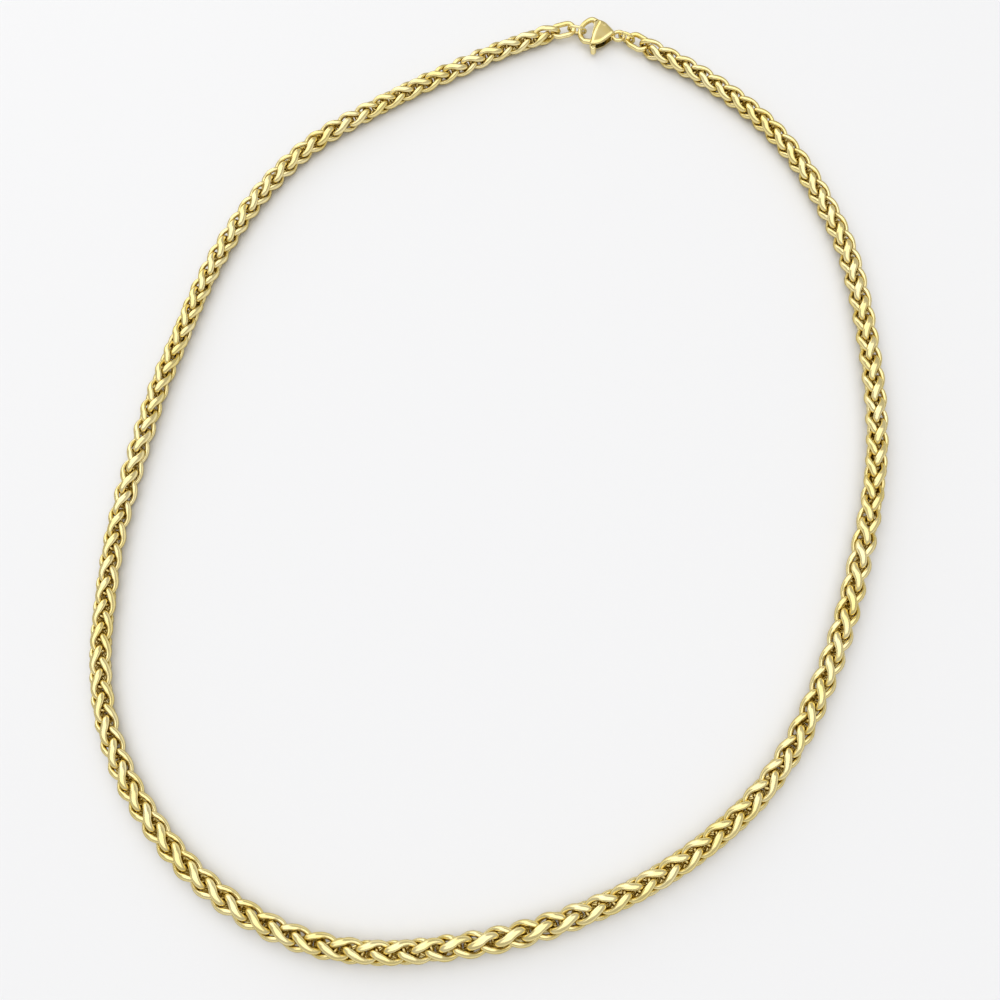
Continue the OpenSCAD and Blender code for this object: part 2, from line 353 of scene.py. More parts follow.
def loop_faces(rings, sides, closed):
    """Quads between neighbouring rings of points, and end caps if the sweep is open."""
    faces = []
    for i in range(rings if closed else rings - 1):
        a, b = i * sides, (i + 1) % rings * sides
        for k in range(sides):
            n = (k + 1) % sides
            faces.append((a + k, a + n, b + n, b + k))
    if not closed:
        faces.append(tuple(range(sides - 1, -1, -1)))
        faces.append(tuple((rings - 1) * sides + k for k in range(sides)))
    return faces


def sweep(path, outward, depth, width, sides, closed=True):
    """Points of an oval wire swept along a path, with its depth along the outward vectors."""
    path = np.asarray(path, float)
    if closed:
        way = np.roll(path, -1, 0) - np.roll(path, 1, 0)
    else:
        way = np.gradient(path, axis=0)
    way /= np.linalg.norm(way, axis=1)[:, None]
    out = outward - (outward * way).sum(1)[:, None] * way
    out /= np.linalg.norm(out, axis=1)[:, None]
    across = np.cross(way, out)
    turn = np.arange(sides) * 2 * math.pi / sides
    depth = np.broadcast_to(depth, len(path))[:, None, None]
    width = np.broadcast_to(width, len(path))[:, None, None]
    section = (depth / 2 * np.cos(turn)[None, :, None] * out[:, None]
               + width / 2 * np.sin(turn)[None, :, None] * across[:, None])
    return path[:, None] + section


# Shape of a link's wire: how boxy its ends are, and how its twist grows towards them
LINK_END_SHAPE = 0.9
LINK_TWIST_SHAPE = 0.75


def link_wire(sizes):
    """Points of one right-handed link round its own middle, with the chain along Z."""
    fine = 8 * sizes.wire_steps
    turn = np.arange(fine) * 2 * math.pi / fine
    along, aside = np.cos(turn), np.sin(turn)
    reach = sizes.link_reach
    radius = (sizes.outer - sizes.wire_depth) / 2
    z = reach * np.sign(along) * np.abs(along) ** LINK_END_SHAPE
    rho = radius * aside
    twist = np.radians(45 - 45 * np.sign(along) * np.abs(along) ** LINK_TWIST_SHAPE)
    wire = np.stack([rho * np.cos(twist), rho * np.sin(twist), z], -1)
    wire = even_loop(wire, sizes.wire_steps)
    outward = wire / np.array([radius ** 2, radius ** 2, reach ** 2])
    width = sizes.wire_width * (1 + sizes.wire_swell * (1 - np.abs(wire[:, 2]) / reach))
    return sweep(wire, outward, sizes.wire_depth, width, sizes.wire_sides)


def even_loop(points, count):
    """A closed loop of points, spaced evenly."""
    loop = np.vstack([points, points[:1]])
    run = np.concatenate([[0], np.cumsum(np.linalg.norm(np.diff(loop, axis=0), axis=1))])
    stops = np.linspace(0, run[-1], count, endpoint=False)
    return np.stack([np.interp(stops, run, loop[:, k]) for k in range(3)], -1)


class Route:
    """The chain's middle line as a smooth curve with its roll, from the right end link on."""

    # Points of the curve from one knot to the next
    STEPS = 24

    def __init__(self, start, start_way, end, end_way, height):
        knots = [start - LEAD * start_way, start]
        knots += [Vector((x, y, 0)) * MM for x, y in CHAIN_ROUTE]
        knots += [end, end + LEAD * end_way]
        knots = np.array([k[:2] for k in knots])
        p0, p1, p2, p3 = knots[:-3], knots[1:-2], knots[2:-1], knots[3:]
        t = (np.arange(self.STEPS) / self.STEPS)[None, :, None]
        p0, p1, p2, p3 = (p[:, None] for p in (p0, p1, p2, p3))
        line = (p1 + (p2 - p0) / 2 * t + (p0 - 2.5 * p1 + 2 * p2 - p3 / 2) * t ** 2
                + (1.5 * (p1 - p2) + (p3 - p0) / 2) * t ** 3)
        line = np.vstack([knots[0], line.reshape(-1, 2), knots[-2], knots[-1]])
        run = np.concatenate([[0], np.cumsum(np.linalg.norm(np.diff(line, axis=0), axis=1))])
        self.line = line
        self.run = run - run[1]
        self.height = height
        self.length = self.run[-2]

    def at(self, s):
        """Point and heading vector at distances along the chain."""
        point = np.stack([np.interp(s, self.run, self.line[:, k]) for k in (0, 1)], -1)
        ahead = np.stack([np.interp(s + LOOK, self.run, self.line[:, k]) for k in (0, 1)], -1)
        behind = np.stack([np.interp(s - LOOK, self.run, self.line[:, k]) for k in (0, 1)], -1)
        way = ahead - behind
        return point, way / np.linalg.norm(way, axis=-1)[..., None]

    def roll(self, s):
        """Roll about the middle line in radians, eased between the rows of CHAIN_ROLL."""
        share = np.arange(-0.05, 1.05 + ROLL_STEP / 2, ROLL_STEP)
        rows = np.array(CHAIN_ROLL, float)
        turn = np.interp(share, rows[:, 0], rows[:, 1])
        side = round(ROLL_EASE / ROLL_STEP / 2)
        ease = np.hanning(2 * side + 1)
        turn = np.convolve(np.pad(turn, side, mode="edge"), ease / ease.sum(), mode="valid")
        return np.radians(np.interp(s / self.length, share, turn))

    def place(self, local, s, turn):
        """Points given across (x, y) and along (z) the chain, set at distance s along it."""
        at = s + local[..., 2]
        point, way = self.at(at)
        roll = self.roll(at) + turn
        across, up = local[..., 0], local[..., 1]
        rise = across * np.cos(roll) - up * np.sin(roll)
        aside = across * np.sin(roll) + up * np.cos(roll)
        return np.stack([point[..., 0] + aside * way[..., 1],
                         point[..., 1] - aside * way[..., 0],
                         self.height + rise], -1)


def node_tree_group(name, inputs, outputs):
    """A new shader node group with the named sockets, or None if it is there already."""
    if name in bpy.data.node_groups:
        return None
    group = bpy.data.node_groups.new(name, "ShaderNodeTree")
    for label, kind, value in inputs:
        socket = group.interface.new_socket(name=label, in_out="INPUT", socket_type=kind)
        socket.default_value = value
    for label, kind in outputs:
        group.interface.new_socket(name=label, in_out="OUTPUT", socket_type=kind)
    return group


def add_node(tree, kind, inputs=None, **settings):
    """A node with its settings and the values of its input sockets."""
    node = tree.nodes.new(kind)
    for key, value in settings.items():
        setattr(node, key, value)
    for key, value in (inputs or {}).items():
        node.inputs[key].default_value = value
    return node


def tone_and_shade_group():
    """Colour of the gold: slow changes of tone, and painted shade that darkens it in the crevices."""
    name = "gold_tone"
    group = node_tree_group(
        name,
        [("Light", "NodeSocketColor", (0.9, 0.8, 0.4, 1)),
         ("Deep", "NodeSocketColor", (0.8, 0.6, 0.3, 1)),
         ("Crevice Shade", "NodeSocketColor", (0.3, 0.2, 0.1, 1)),
         ("Patch Scale", "NodeSocketFloat", 300.0),
         ("Crevice Depth", "NodeSocketFloat", 0.0015)],
        [("Color", "NodeSocketColor")])
    if group is None:
        return bpy.data.node_groups[name]
    link = group.links.new
    given = add_node(group, "NodeGroupInput")
    result = add_node(group, "NodeGroupOutput")
    where = add_node(group, "ShaderNodeTexCoord")
    patches = add_node(group, "ShaderNodeTexNoise", {"Detail": 3.0, "Roughness": 0.55})
    spread = add_node(group, "ShaderNodeMapRange", {"From Min": 0.35, "From Max": 0.65})
    tone = add_node(group, "ShaderNodeMix", data_type="RGBA")
    # Painted shade: ambient occlusion darkens the gold towards the crevice colour where other surfaces
    # are near
    hollow = add_node(group, "ShaderNodeAmbientOcclusion", samples=6)
    depth = add_node(group, "ShaderNodeMapRange", {"From Min": 0.12, "From Max": 0.6})
    shade = add_node(group, "ShaderNodeMix", data_type="RGBA")
    link(where.outputs["Object"], patches.inputs["Vector"])
    link(given.outputs["Patch Scale"], patches.inputs["Scale"])
    link(patches.outputs["Fac"], spread.inputs["Value"])
    link(spread.outputs["Result"], tone.inputs["Factor"])
    link(given.outputs["Light"], tone.inputs["A"])
    link(given.outputs["Deep"], tone.inputs["B"])
    link(given.outputs["Crevice Depth"], hollow.inputs["Distance"])
    link(hollow.outputs["AO"], depth.inputs["Value"])
    link(depth.outputs["Result"], shade.inputs["Factor"])
    link(given.outputs["Crevice Shade"], shade.inputs["A"])
    link(tone.outputs["Result"], shade.inputs["B"])
    link(shade.outputs["Result"], result.inputs["Color"])
    return group


def fine_wear_group():
    """Polish of worn gold: slow changes of roughness and faint hairline marks."""
    name = "fine_wear"
    group = node_tree_group(
        name,
        [("Roughness", "NodeSocketFloat", 0.15),
         ("Spread", "NodeSocketFloat", 0.06),
         ("Mark Scale", "NodeSocketFloat", 2500.0)],
        [("Roughness", "NodeSocketFloat"), ("Height", "NodeSocketFloat")])
    if group is None:
        return bpy.data.node_groups[name]
    link = group.links.new
    given = add_node(group, "NodeGroupInput")
    result = add_node(group, "NodeGroupOutput")
    where = add_node(group, "ShaderNodeTexCoord")
    cloud = add_node(group, "ShaderNodeTexNoise", {"Scale": 420.0, "Detail": 4.0})
    change = add_node(group, "ShaderNodeMapRange",
                      {"From Min": 0.3, "From Max": 0.7, "To Min": -1.0, "To Max": 1.0})
    amount = add_node(group, "ShaderNodeMath", operation="MULTIPLY_ADD")
    marks = add_node(group, "ShaderNodeTexNoise", {"Detail": 6.0, "Roughness": 0.7})
    link(where.outputs["Object"], cloud.inputs["Vector"])
    link(where.outputs["Object"], marks.inputs["Vector"])
    link(given.outputs["Mark Scale"], marks.inputs["Scale"])
    link(cloud.outputs["Fac"], change.inputs["Value"])
    link(change.outputs["Result"], amount.inputs[0])
    link(given.outputs["Spread"], amount.inputs[1])
    link(given.outputs["Roughness"], amount.inputs[2])
    link(amount.outputs["Value"], result.inputs["Roughness"])
    link(marks.outputs["Fac"], result.inputs["Height"])
    return group


def brushed_group():
    """Fine straight grain for the brushed cheeks, with the surface's satin mark as its mask."""
    name = "brushed"
    group = node_tree_group(
        name, [("Grain Scale", "NodeSocketFloat", 4000.0)],
        [("Grain", "NodeSocketFloat"), ("Mask", "NodeSocketFloat")])
    if group is None:
        return bpy.data.node_groups[name]
    link = group.links.new
    given = add_node(group, "NodeGroupInput")
    result = add_node(group, "NodeGroupOutput")
    where = add_node(group, "ShaderNodeTexCoord")
    stretch = add_node(group, "ShaderNodeMapping", {"Rotation": (0, 0, 0.5), "Scale": (0.12, 1, 1)})
    grain = add_node(group, "ShaderNodeTexNoise", {"Detail": 4.0, "Roughness": 0.6})
    mark = add_node(group, "ShaderNodeAttribute", attribute_name="satin")
    link(where.outputs["Object"], stretch.inputs["Vector"])
    link(stretch.outputs["Vector"], grain.inputs["Vector"])
    link(given.outputs["Grain Scale"], grain.inputs["Scale"])
    link(grain.outputs["Fac"], result.inputs["Grain"])
    link(mark.outputs["Fac"], result.inputs["Mask"])
    return group


def add_satin(material):
    """Turns the marked parts of a polished material into brushed ones."""
    looks = bpy.context.scene.necklace_gold
    tree = material.node_tree
    shader = next(node for node in tree.nodes if node.type == "BSDF_PRINCIPLED")
    bump = next(node for node in tree.nodes if node.type == "BUMP")
    brushed = add_node(tree, "ShaderNodeGroup", node_tree=brushed_group())
    polish = add_node(tree, "ShaderNodeMix", {"B": looks.satin})
    colour = add_node(tree, "ShaderNodeMix", data_type="RGBA", blend_type="MULTIPLY")
    colour.inputs["B"].default_value = looks.satin_tone
    marks = add_node(tree, "ShaderNodeMix")
    for mix, socket, result in ((polish, shader.inputs["Roughness"], "Result"),
                                (colour, shader.inputs["Base Color"], "Result"),
                                (marks, bump.inputs["Height"], "Result")):
        before = socket.links[0].from_socket
        tree.links.new(before, mix.inputs["A"])
        tree.links.new(brushed.outputs["Mask"], mix.inputs["Factor"])
        tree.links.new(mix.outputs[result], socket)
    tree.links.new(brushed.outputs["Grain"], marks.inputs["B"])


def gold_material(name, patches, crevice_shade, marks):
    """Polished gold with changing tone, painted shade in the crevices and faint marks."""
    looks = bpy.context.scene.necklace_gold
    material = bpy.data.materials.new(name)
    material.use_nodes = True
    tree = material.node_tree
    tree.nodes.clear()
    shader = add_node(tree, "ShaderNodeBsdfPrincipled", {"Metallic": 1.0})
    surface = add_node(tree, "ShaderNodeOutputMaterial")
    tone = add_node(tree, "ShaderNodeGroup", node_tree=tone_and_shade_group())
    wear = add_node(tree, "ShaderNodeGroup", node_tree=fine_wear_group())
    bump = add_node(tree, "ShaderNodeBump", {"Strength": 0.5, "Distance": marks})
    tone.inputs["Light"].default_value = looks.light
    tone.inputs["Deep"].default_value = looks.deep
    # Painted shade in the crevices: its colour and how far it reaches from other surfaces
    tone.inputs["Crevice Shade"].default_value = looks.crevice_shade
    tone.inputs["Patch Scale"].default_value = patches
    tone.inputs["Crevice Depth"].default_value = crevice_shade
    wear.inputs["Roughness"].default_value = looks.polish
    shader.inputs["Specular Tint"].default_value = looks.edge
    tree.links.new(tone.outputs["Color"], shader.inputs["Base Color"])
    tree.links.new(wear.outputs["Roughness"], shader.inputs["Roughness"])
    tree.links.new(wear.outputs["Height"], bump.inputs["Height"])
    tree.links.new(bump.outputs["Normal"], shader.inputs["Normal"])
    tree.links.new(shader.outputs["BSDF"], surface.inputs["Surface"])
    return material


def finished(piece, body, node, material):
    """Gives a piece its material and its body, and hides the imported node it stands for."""
    piece.data.materials.clear()
    piece.data.materials.append(material)
    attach(piece, body)
    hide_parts(node)


class NECKLACE_OT_stage(bpy.types.Operator):
    """Make the floor, the soft studio lights and the camera"""

    bl_idname = "necklace.add_stage"
    bl_label = "Add Stage"

    # Places and sizes of the lights, and half the floor's side, in metres
    OVERHEAD_AT = (0.0, 0.0, 1.3)
    OVERHEAD_SIZE = 2.4
    KEY_AT = (-1.05, 0.9, 0.6)
    KEY_SIZE = 1.2
    FLOOR_HALF = 3.0
    FLOOR_ROUGHNESS = 0.7
    SKY_COLOUR = (1.0, 0.99, 0.97, 1)

    def execute(self, context):
        looks = context.scene.necklace_stage
        self.add_floor(looks)
        self.add_sky(context.scene, looks)
        self.add_light("overhead_light", self.OVERHEAD_AT, self.OVERHEAD_SIZE, looks.overhead)
        self.add_light("key_light", self.KEY_AT, self.KEY_SIZE, looks.key)
        self.add_camera(context.scene)
        context.scene.view_settings.view_transform = "Standard"
        return {"FINISHED"}

    def add_floor(self, looks):
        half = self.FLOOR_HALF
        floor = add_mesh(
            "floor", [(-half, -half, 0), (half, -half, 0), (half, half, 0), (-half, half, 0)],
            [(0, 1, 2, 3)])
        material = bpy.data.materials.new("pale_floor")
        material.use_nodes = True
        shader = material.node_tree.nodes["Principled BSDF"]
        shader.inputs["Base Color"].default_value = looks.floor
        shader.inputs["Roughness"].default_value = self.FLOOR_ROUGHNESS
        floor.data.materials.append(material)

    def add_sky(self, scene, looks):
        world = bpy.data.worlds.new("studio")
        world.use_nodes = True
        back = world.node_tree.nodes["Background"]
        back.inputs["Color"].default_value = self.SKY_COLOUR
        back.inputs["Strength"].default_value = looks.sky
        scene.world = world

    def add_light(self, name, at, size, power):
        data = bpy.data.lights.new(name, "AREA")
        data.shape = "SQUARE"
        data.size = size
        data.energy = power
        light = bpy.data.objects.new(name, data)
        light.location = at
        light.rotation_euler = (-Vector(at)).to_track_quat("-Z", "Y").to_euler()
        bpy.context.scene.collection.objects.link(light)

    def add_camera(self, scene):
        data = bpy.data.cameras.new("camera")
        data.lens = CAMERA_LENS
        data.clip_start = 0.01
        camera = bpy.data.objects.new("camera", data)
        turn = (Matrix.Rotation(math.radians(CAMERA_HEADING), 4, "Z")
                @ Matrix.Rotation(math.radians(90 - CAMERA_ELEVATION), 4, "X")
                @ Matrix.Rotation(math.radians(CAMERA_ROLL), 4, "Z"))
        camera.matrix_world = Matrix.Translation(CAMERA_AT) @ turn
        scene.collection.objects.link(camera)
        scene.camera = camera


class NECKLACE_OT_chain(bpy.types.Operator):
    """Make the wheat chain of interlocked links along its route"""

    bl_idname = "necklace.add_chain"
    bl_label = "Add Wheat Chain"

    # The outer halves of the first and last links are this much longer, for their end links
    END_STRETCH = 1.05
    # How far the first and last links hang over the place where they would touch the end links
    END_SLACK = 0.3 * MM
    # Each link is rolled by up to this many degrees, as it lies
    LOOSE_ROLL = 0.8

    def execute(self, context):
        sizes = context.scene.necklace_chain
        rings = context.scene.necklace_rings
        end_reach = rings.end_side / 2 + rings.end_bend
        start_way, end_way = unit(RIGHT_HEADING), -unit(LEFT_HEADING)
        start = middle_of("end_link_right") + end_reach * start_way
        end = middle_of("end_link_left") - end_reach * end_way
        route = Route(start, start_way, end, end_way, sizes.outer / 2)
        hold = sizes.link_reach * self.END_STRETCH - (sizes.wire_depth + rings.end_wire) / 2
        first, last = hold - self.END_SLACK, route.length - hold + self.END_SLACK
        count = round((last - first) / (sizes.pitch / 2)) + 1
        right_handed = link_wire(sizes)
        left_handed = (right_handed * np.array([1, -1, 1]))[:, ::-1]
        stops = np.linspace(first, last, count)
        loose = np.radians(np.random.default_rng(7).uniform(-1, 1, count) * self.LOOSE_ROLL)
        links = []
        for i, stop in enumerate(stops):
            local = (right_handed if i % 2 == 0 else left_handed).copy()
            along = local[..., 2]
            if i == 0:
                along[along < 0] *= self.END_STRETCH
            if i == count - 1:
                along[along > 0] *= self.END_STRETCH
            links.append(route.place(local, stop, loose[i]))
        steps, sides = sizes.wire_steps, sizes.wire_sides
        one = np.array(loop_faces(steps, sides, True))
        faces = np.concatenate([one + i * steps * sides for i in range(count)])
        points = np.concatenate([link.reshape(-1, 3) for link in links])
        chain = add_mesh("wheat_chain_links", points, faces.tolist())
        print(f"chain: {count} links, {2 * len(faces)} triangles, route {route.length:.4f} m")
        gold = gold_material("chain_gold", LINK_PATCHES, LINK_SHADE_REACH, FINE_MARKS)
        finished(chain, "necklace", "wheat_chain", gold)
        return {"FINISHED"}


class NECKLACE_OT_end_links(bpy.types.Operator):
    """Make the oval link at each end of the chain"""

    bl_idname = "necklace.add_end_links"
    bl_label = "Add End Links"

    # Sections along a link's wire and points round it
    STEPS = 64
    SIDES = 20

    def execute(self, context):
        sizes = context.scene.necklace_rings
        gold = gold_material("end_link_gold", LINK_PATCHES, LINK_SHADE_REACH, FINE_MARKS)
        self.add_link("end_link_left", sizes, LEFT_HEADING, -END_LEAN, gold)
        self.add_link("end_link_right", sizes, RIGHT_HEADING, END_LEAN, gold)
        return {"FINISHED"}

    def add_link(self, node, sizes, heading, lean, gold):
        bend, side = sizes.end_bend, sizes.end_side / 2
        turn = np.radians(np.linspace(-90, 90, 25))
        half = np.stack([side + bend * np.cos(turn), bend * np.sin(turn), 0 * turn], -1)
        oval = even_loop(np.vstack([half, half * np.array([-1, -1, 1])]), self.STEPS)
        outward = oval - np.clip(oval, (-side, 0, 0), (side, 0, 0))
        wire = sweep(oval, outward, sizes.end_wire, sizes.end_wire, self.SIDES)
        faces = loop_faces(self.STEPS, self.SIDES, True)
        link = add_mesh(node + "_wire", wire.reshape(-1, 3), faces)
        link.data.transform(set_at(node, heading, lean))
        finished(link, "necklace", node, gold)


class NECKLACE_OT_rings(bpy.types.Operator):
    """Make the two jump rings that join the clasp to the end links"""

    bl_idname = "necklace.add_rings"
    bl_label = "Add Jump Rings"

    # Half the angle of the fine cut in each ring's wire, and where it lies, in degrees
    CUT = 0.6
    HOOK_RING_CUT_AT = 55
    TAIL_RING_CUT_AT = 250
    # Sections along a ring's wire and points round it
    STEPS = 72
    SIDES = 16

    def execute(self, context):
        sizes = context.scene.necklace_rings
        gold = gold_material("ring_gold", LINK_PATCHES, RING_SHADE_REACH, FINE_MARKS)
        self.add_ring("hook_ring", sizes.hook_wire, sizes.hook_radius, 0,
                      HOOK_RING_LEAN, self.HOOK_RING_CUT_AT, gold)
        self.add_ring("tail_ring", sizes.tail_wire, sizes.tail_radius, TAIL_RING_HEADING,
                      TAIL_RING_LEAN, self.TAIL_RING_CUT_AT, gold)
        return {"FINISHED"}

    def add_ring(self, node, wire_d, radius, heading, lean, cut_at, gold):
        turn = np.radians(np.linspace(cut_at + self.CUT, cut_at + 360 - self.CUT, self.STEPS))
        loop = np.stack([radius * np.cos(turn), radius * np.sin(turn), 0 * turn], -1)
        wire = sweep(loop, loop.copy(), wire_d, wire_d, self.SIDES, closed=False)
        faces = loop_faces(self.STEPS, self.SIDES, False)
        ring = add_mesh(node + "_wire", wire.reshape(-1, 3), faces)
        ring.data.transform(set_at(node, heading, -lean))
        ring.data.set_sharp_from_angle(angle=math.radians(RING_SHARP))
        finished(ring, "necklace", node, gold)


def raised(outline, height):
    """An outline of flat points, set at a height."""
    return np.column_stack([np.asarray(outline, float), np.full(len(outline), height)])


def stack(rings):
    """Points and faces of a closed solid through rings of points, from the bottom up."""
    return np.concatenate(rings), loop_faces(len(rings), len(rings[0]), False)


def prism(outline, low, high):
    """A closed solid between two heights over an outline of flat points."""
    return stack([raised(outline, height) for height in (low, high)])


def eased_prism(outline, half, ease, drop, steps):
    """A closed solid with rounded edges; outline(inset) gives it moved inwards by the inset."""
    rings = []
    for side in (-1, 1):
        for bend in np.radians(np.linspace(0, 90, steps))[::-side]:
            height = side * (half - drop * (1 - math.cos(bend)))
            rings.append(raised(outline(ease * (1 - math.sin(bend))), height))
    return stack(rings)


def disc(mid, radius, sides=48):
    """Outline of a circle as flat points."""
    turn = np.arange(sides) * 2 * math.pi / sides
    return np.column_stack([mid[0] + radius * np.cos(turn), mid[1] + radius * np.sin(turn)])


def solid(name, shells):
    """One temporary object from closed shells of points and faces."""
    points, faces, start = [], [], 0
    for shell_points, shell_faces in shells:
        points.append(shell_points)
        faces += [tuple(start + i for i in face) for face in shell_faces]
        start += len(shell_points)
    piece = add_mesh(name, np.concatenate(points), faces, smooth=False)
    work = bmesh.new()
    work.from_mesh(piece.data)
    bmesh.ops.recalc_face_normals(work, faces=work.faces)
    work.to_mesh(piece.data)
    work.free()
    return piece


def settle(piece):
    """Applies a piece's modifiers."""
    graph = bpy.context.evaluated_depsgraph_get()
    done = bpy.data.meshes.new_from_object(piece.evaluated_get(graph))
    piece.modifiers.clear()
    old = piece.data
    piece.data = done
    bpy.data.meshes.remove(old)


def cut(piece, cutter):
    """Takes one solid out of another."""
    taken = piece.modifiers.new("cut", "BOOLEAN")
    taken.operation = "DIFFERENCE"
    taken.solver = "EXACT"
    taken.object = cutter
    settle(piece)
    bpy.data.objects.remove(cutter)


def join(piece, other):
    """Adds another object's shells to a piece."""
    work = bmesh.new()
    work.from_mesh(piece.data)
    work.from_mesh(other.data)
    work.to_mesh(piece.data)
    work.free()
    bpy.data.objects.remove(other)


def fuse(piece, voxel, smoothing):
    """Melts a piece's overlapping shells into one, with its edges a little rounded."""
    melted = piece.modifiers.new("melt", "REMESH")
    melted.mode = "VOXEL"
    melted.voxel_size = voxel
    eased = piece.modifiers.new("ease", "SMOOTH")
    eased.iterations = smoothing
    eased.factor = 0.5
    settle(piece)


def set_in_clasp(piece):
    """Moves a piece from the clasp's own plane, in millimetres, to its place in the model."""
    origin = middle_of("clasp_pin") - Vector((*PIVOT, 0)) * MM
    piece.data.transform(Matrix.Translation(origin) @ Matrix.Scale(MM, 4))
    piece.data.shade_smooth()
    piece.data.set_sharp_from_angle(angle=math.radians(CLASP_SHARP))


# Upward share of the normal where the brushed mark begins and where it is full, and how far
# below the cheek's face it is still full and where it ends, in millimetres
SATIN_FACING = (0.94, 0.99)
SATIN_DEPTH = (0.01, 0.07)


def mark_satin(piece, height):
    """Marks the brushed faces of a clasp piece, which lie level at this height on both sides."""
    mesh = piece.data
    points = np.empty(len(mesh.vertices) * 3)
    facing = np.empty(len(mesh.vertices) * 3)
    mesh.vertices.foreach_get("co", points)
    mesh.vertices.foreach_get("normal", facing)
    level = np.interp(np.abs(facing[2::3]), SATIN_FACING, (0, 1))
    flush = np.interp(height - np.abs(points[2::3]), SATIN_DEPTH, (1, 0))
    mark = mesh.attributes.new("satin", "FLOAT", "POINT")
    mark.data.foreach_set("value", (level * flush).astype(np.float32))


def millimetres(group):
    """The sizes of a property group in millimetres, under their own names."""
    return SimpleNamespace(**{key: getattr(group, key) / MM for key in group.__annotations__})


def flat(mid, radius, degrees):
    """A flat point on a circle."""
    angle = np.radians(degrees)
    return np.stack([mid[0] + radius * np.cos(angle), mid[1] + radius * np.sin(angle)], -1)


def tip_end(size):
    """Where the hook's tight bend ends and its straight tip begins."""
    mid = flat(HOOK_MID, size.bend - TIP_R, HOOK_FROM)
    return flat(mid, TIP_R, TIP_FROM)


def seam_line(size):
    """Middle of the seam, its direction, and the direction across it towards the lever."""
    middle = flat(tip_end(size), SEAM_REACH, TIP_FROM - 90)
    along = flat((0, 0), 1, SEAM_ANGLE)
    return middle, along, np.array([along[1], -along[0]])


class NECKLACE_OT_clasp_body(bpy.types.Operator):
    """Make the clasp's body: rounded cheeks, hook and tail eye in one casting"""

    bl_idname = "necklace.add_clasp_body"
    bl_label = "Add Clasp Body"

    # Grain in millimetres of the mesh that the body's solids are melted into, and how many
    # times it is smoothed
    VOXEL = 0.065
    SMOOTHING = 6
    # Height of the rounded edge over its width, and its width at the front over that elsewhere
    EDGE_DROP = 0.8
    FRONT_EDGE = 1.25
    # Points round the hook's bar and round the tail eye's
    HOOK_SIDES = 24
    EYE_SIDES = 20

    def execute(self, context):
        size = millimetres(context.scene.necklace_clasp)
        body = solid("clasp_body_casting", [self.cheeks(size)])
        cut(body, solid("slot", [prism(self.slot(size), -size.slot / 2, size.slot / 2)]))
        join(body, solid("hook_and_eye", [self.hook(size), self.eye(size)]))
        fuse(body, self.VOXEL, self.SMOOTHING)
        cut(body, solid("bore", [prism(disc(PIVOT, size.pin / 2 + PIN_ROOM), -size.thick, size.thick)]))
        mark_satin(body, size.thick / 2)
        set_in_clasp(body)
        gold = gold_material("clasp_gold", CLASP_PATCHES, CLASP_SHADE_REACH, BRUSH_MARKS)
        add_satin(gold)
        finished(body, "necklace", "clasp_body", gold)
        return {"FINISHED"}

    def outline(self, size, inset):
        """The cheeks' outline, moved inwards: a round head, a narrow rear and an arched front."""
        turn = np.radians(np.arange(0, 360, 2.5))
        facing = np.column_stack([np.cos(turn), np.sin(turn)])
        towards = facing @ facing.T
        head_reach = facing @ np.array(HEAD_MID) + size.head
        shell_reach = np.maximum(head_reach, facing[:, 0] * size.length + size.rear)
        front_reach = facing @ np.array(FRONT_MID) + FRONT_R
        limits = []
        for reach, share in ((shell_reach, 1.0), (front_reach, self.FRONT_EDGE)):
            room = reach - inset * share - facing @ np.array(CHEEK_MID)
            limits.append(np.where(towards > 0.05, room / np.maximum(towards, 0.05), 99).min(1))
        return np.array(CHEEK_MID) + facing * np.minimum(*limits)[:, None]

    def cheeks(self, size):
        """The body before its slot is cut, with broad rounded edges."""
        return eased_prism(lambda inset: self.outline(size, inset), size.thick / 2, size.rounding,
                           self.EDGE_DROP * size.rounding, 7)

    def slot(self, size):
        """Outline of the room that the lever swings in."""
        side = size.leg_at - size.leg / 2 - LEG_ROOM
        return [*SLOT_SIDES, (side, SLOT_CORNER), (side, SLOT_SIDES[0][1])]

    def hook(self, size):
        """The hook's bar from its tip at the seam round to its heel in the body."""
        tip_mid = flat(HOOK_MID, size.bend - TIP_R, HOOK_FROM)
        heel_mid = flat(HOOK_MID, size.bend - HEEL_R, HOOK_TO)
        middle, _, across = seam_line(size)
        path = np.vstack([
            np.linspace(middle, tip_end(size), 6, endpoint=False),
            flat(tip_mid, TIP_R, np.linspace(TIP_FROM, HOOK_FROM, 12, endpoint=False)),
            flat(HOOK_MID, size.bend, np.linspace(HOOK_FROM, HOOK_TO, 40, endpoint=False)),
            flat(heel_mid, HEEL_R, np.linspace(HOOK_TO, 270, 10, endpoint=False)),
            np.linspace(heel_mid - (0, HEEL_R), heel_mid + (HEEL_RUN, -HEEL_R), 8),
        ])
        path = np.column_stack([path, np.zeros(len(path))])
        run = np.concatenate([[0], np.cumsum(np.linalg.norm(np.diff(path, axis=0), axis=1))])
        swell = np.abs(2 * run / run[-1] - 1) ** 1.5
        thick = size.bar_front + (size.bar - size.bar_front) * swell
        out = np.tile([0.0, 0.0, 1.0], (len(path), 1))
        wire = sweep(path, out, thick, thick, self.HOOK_SIDES, closed=False)
        way = path[0, :2] - path[1, :2]
        way /= np.linalg.norm(way)
        short = ((wire[0, :, :2] - middle) @ across) / (way @ across)
        wire[0, :, :2] -= short[:, None] * way
        return wire.reshape(-1, 3), loop_faces(len(path), self.HOOK_SIDES, False)

    def eye(self, size):
        """The tail eye, a round ring of bar."""
        turn = np.radians(np.arange(0, 360, 7.5))
        out = size.eye * np.column_stack([np.cos(turn), np.sin(turn), 0 * turn])
        middle = out + np.array([*EYE_MID, 0])
        wire = sweep(middle, out, size.eye_bar, size.eye_bar, self.EYE_SIDES)
        return wire.reshape(-1, 3), loop_faces(len(turn), self.EYE_SIDES, True)


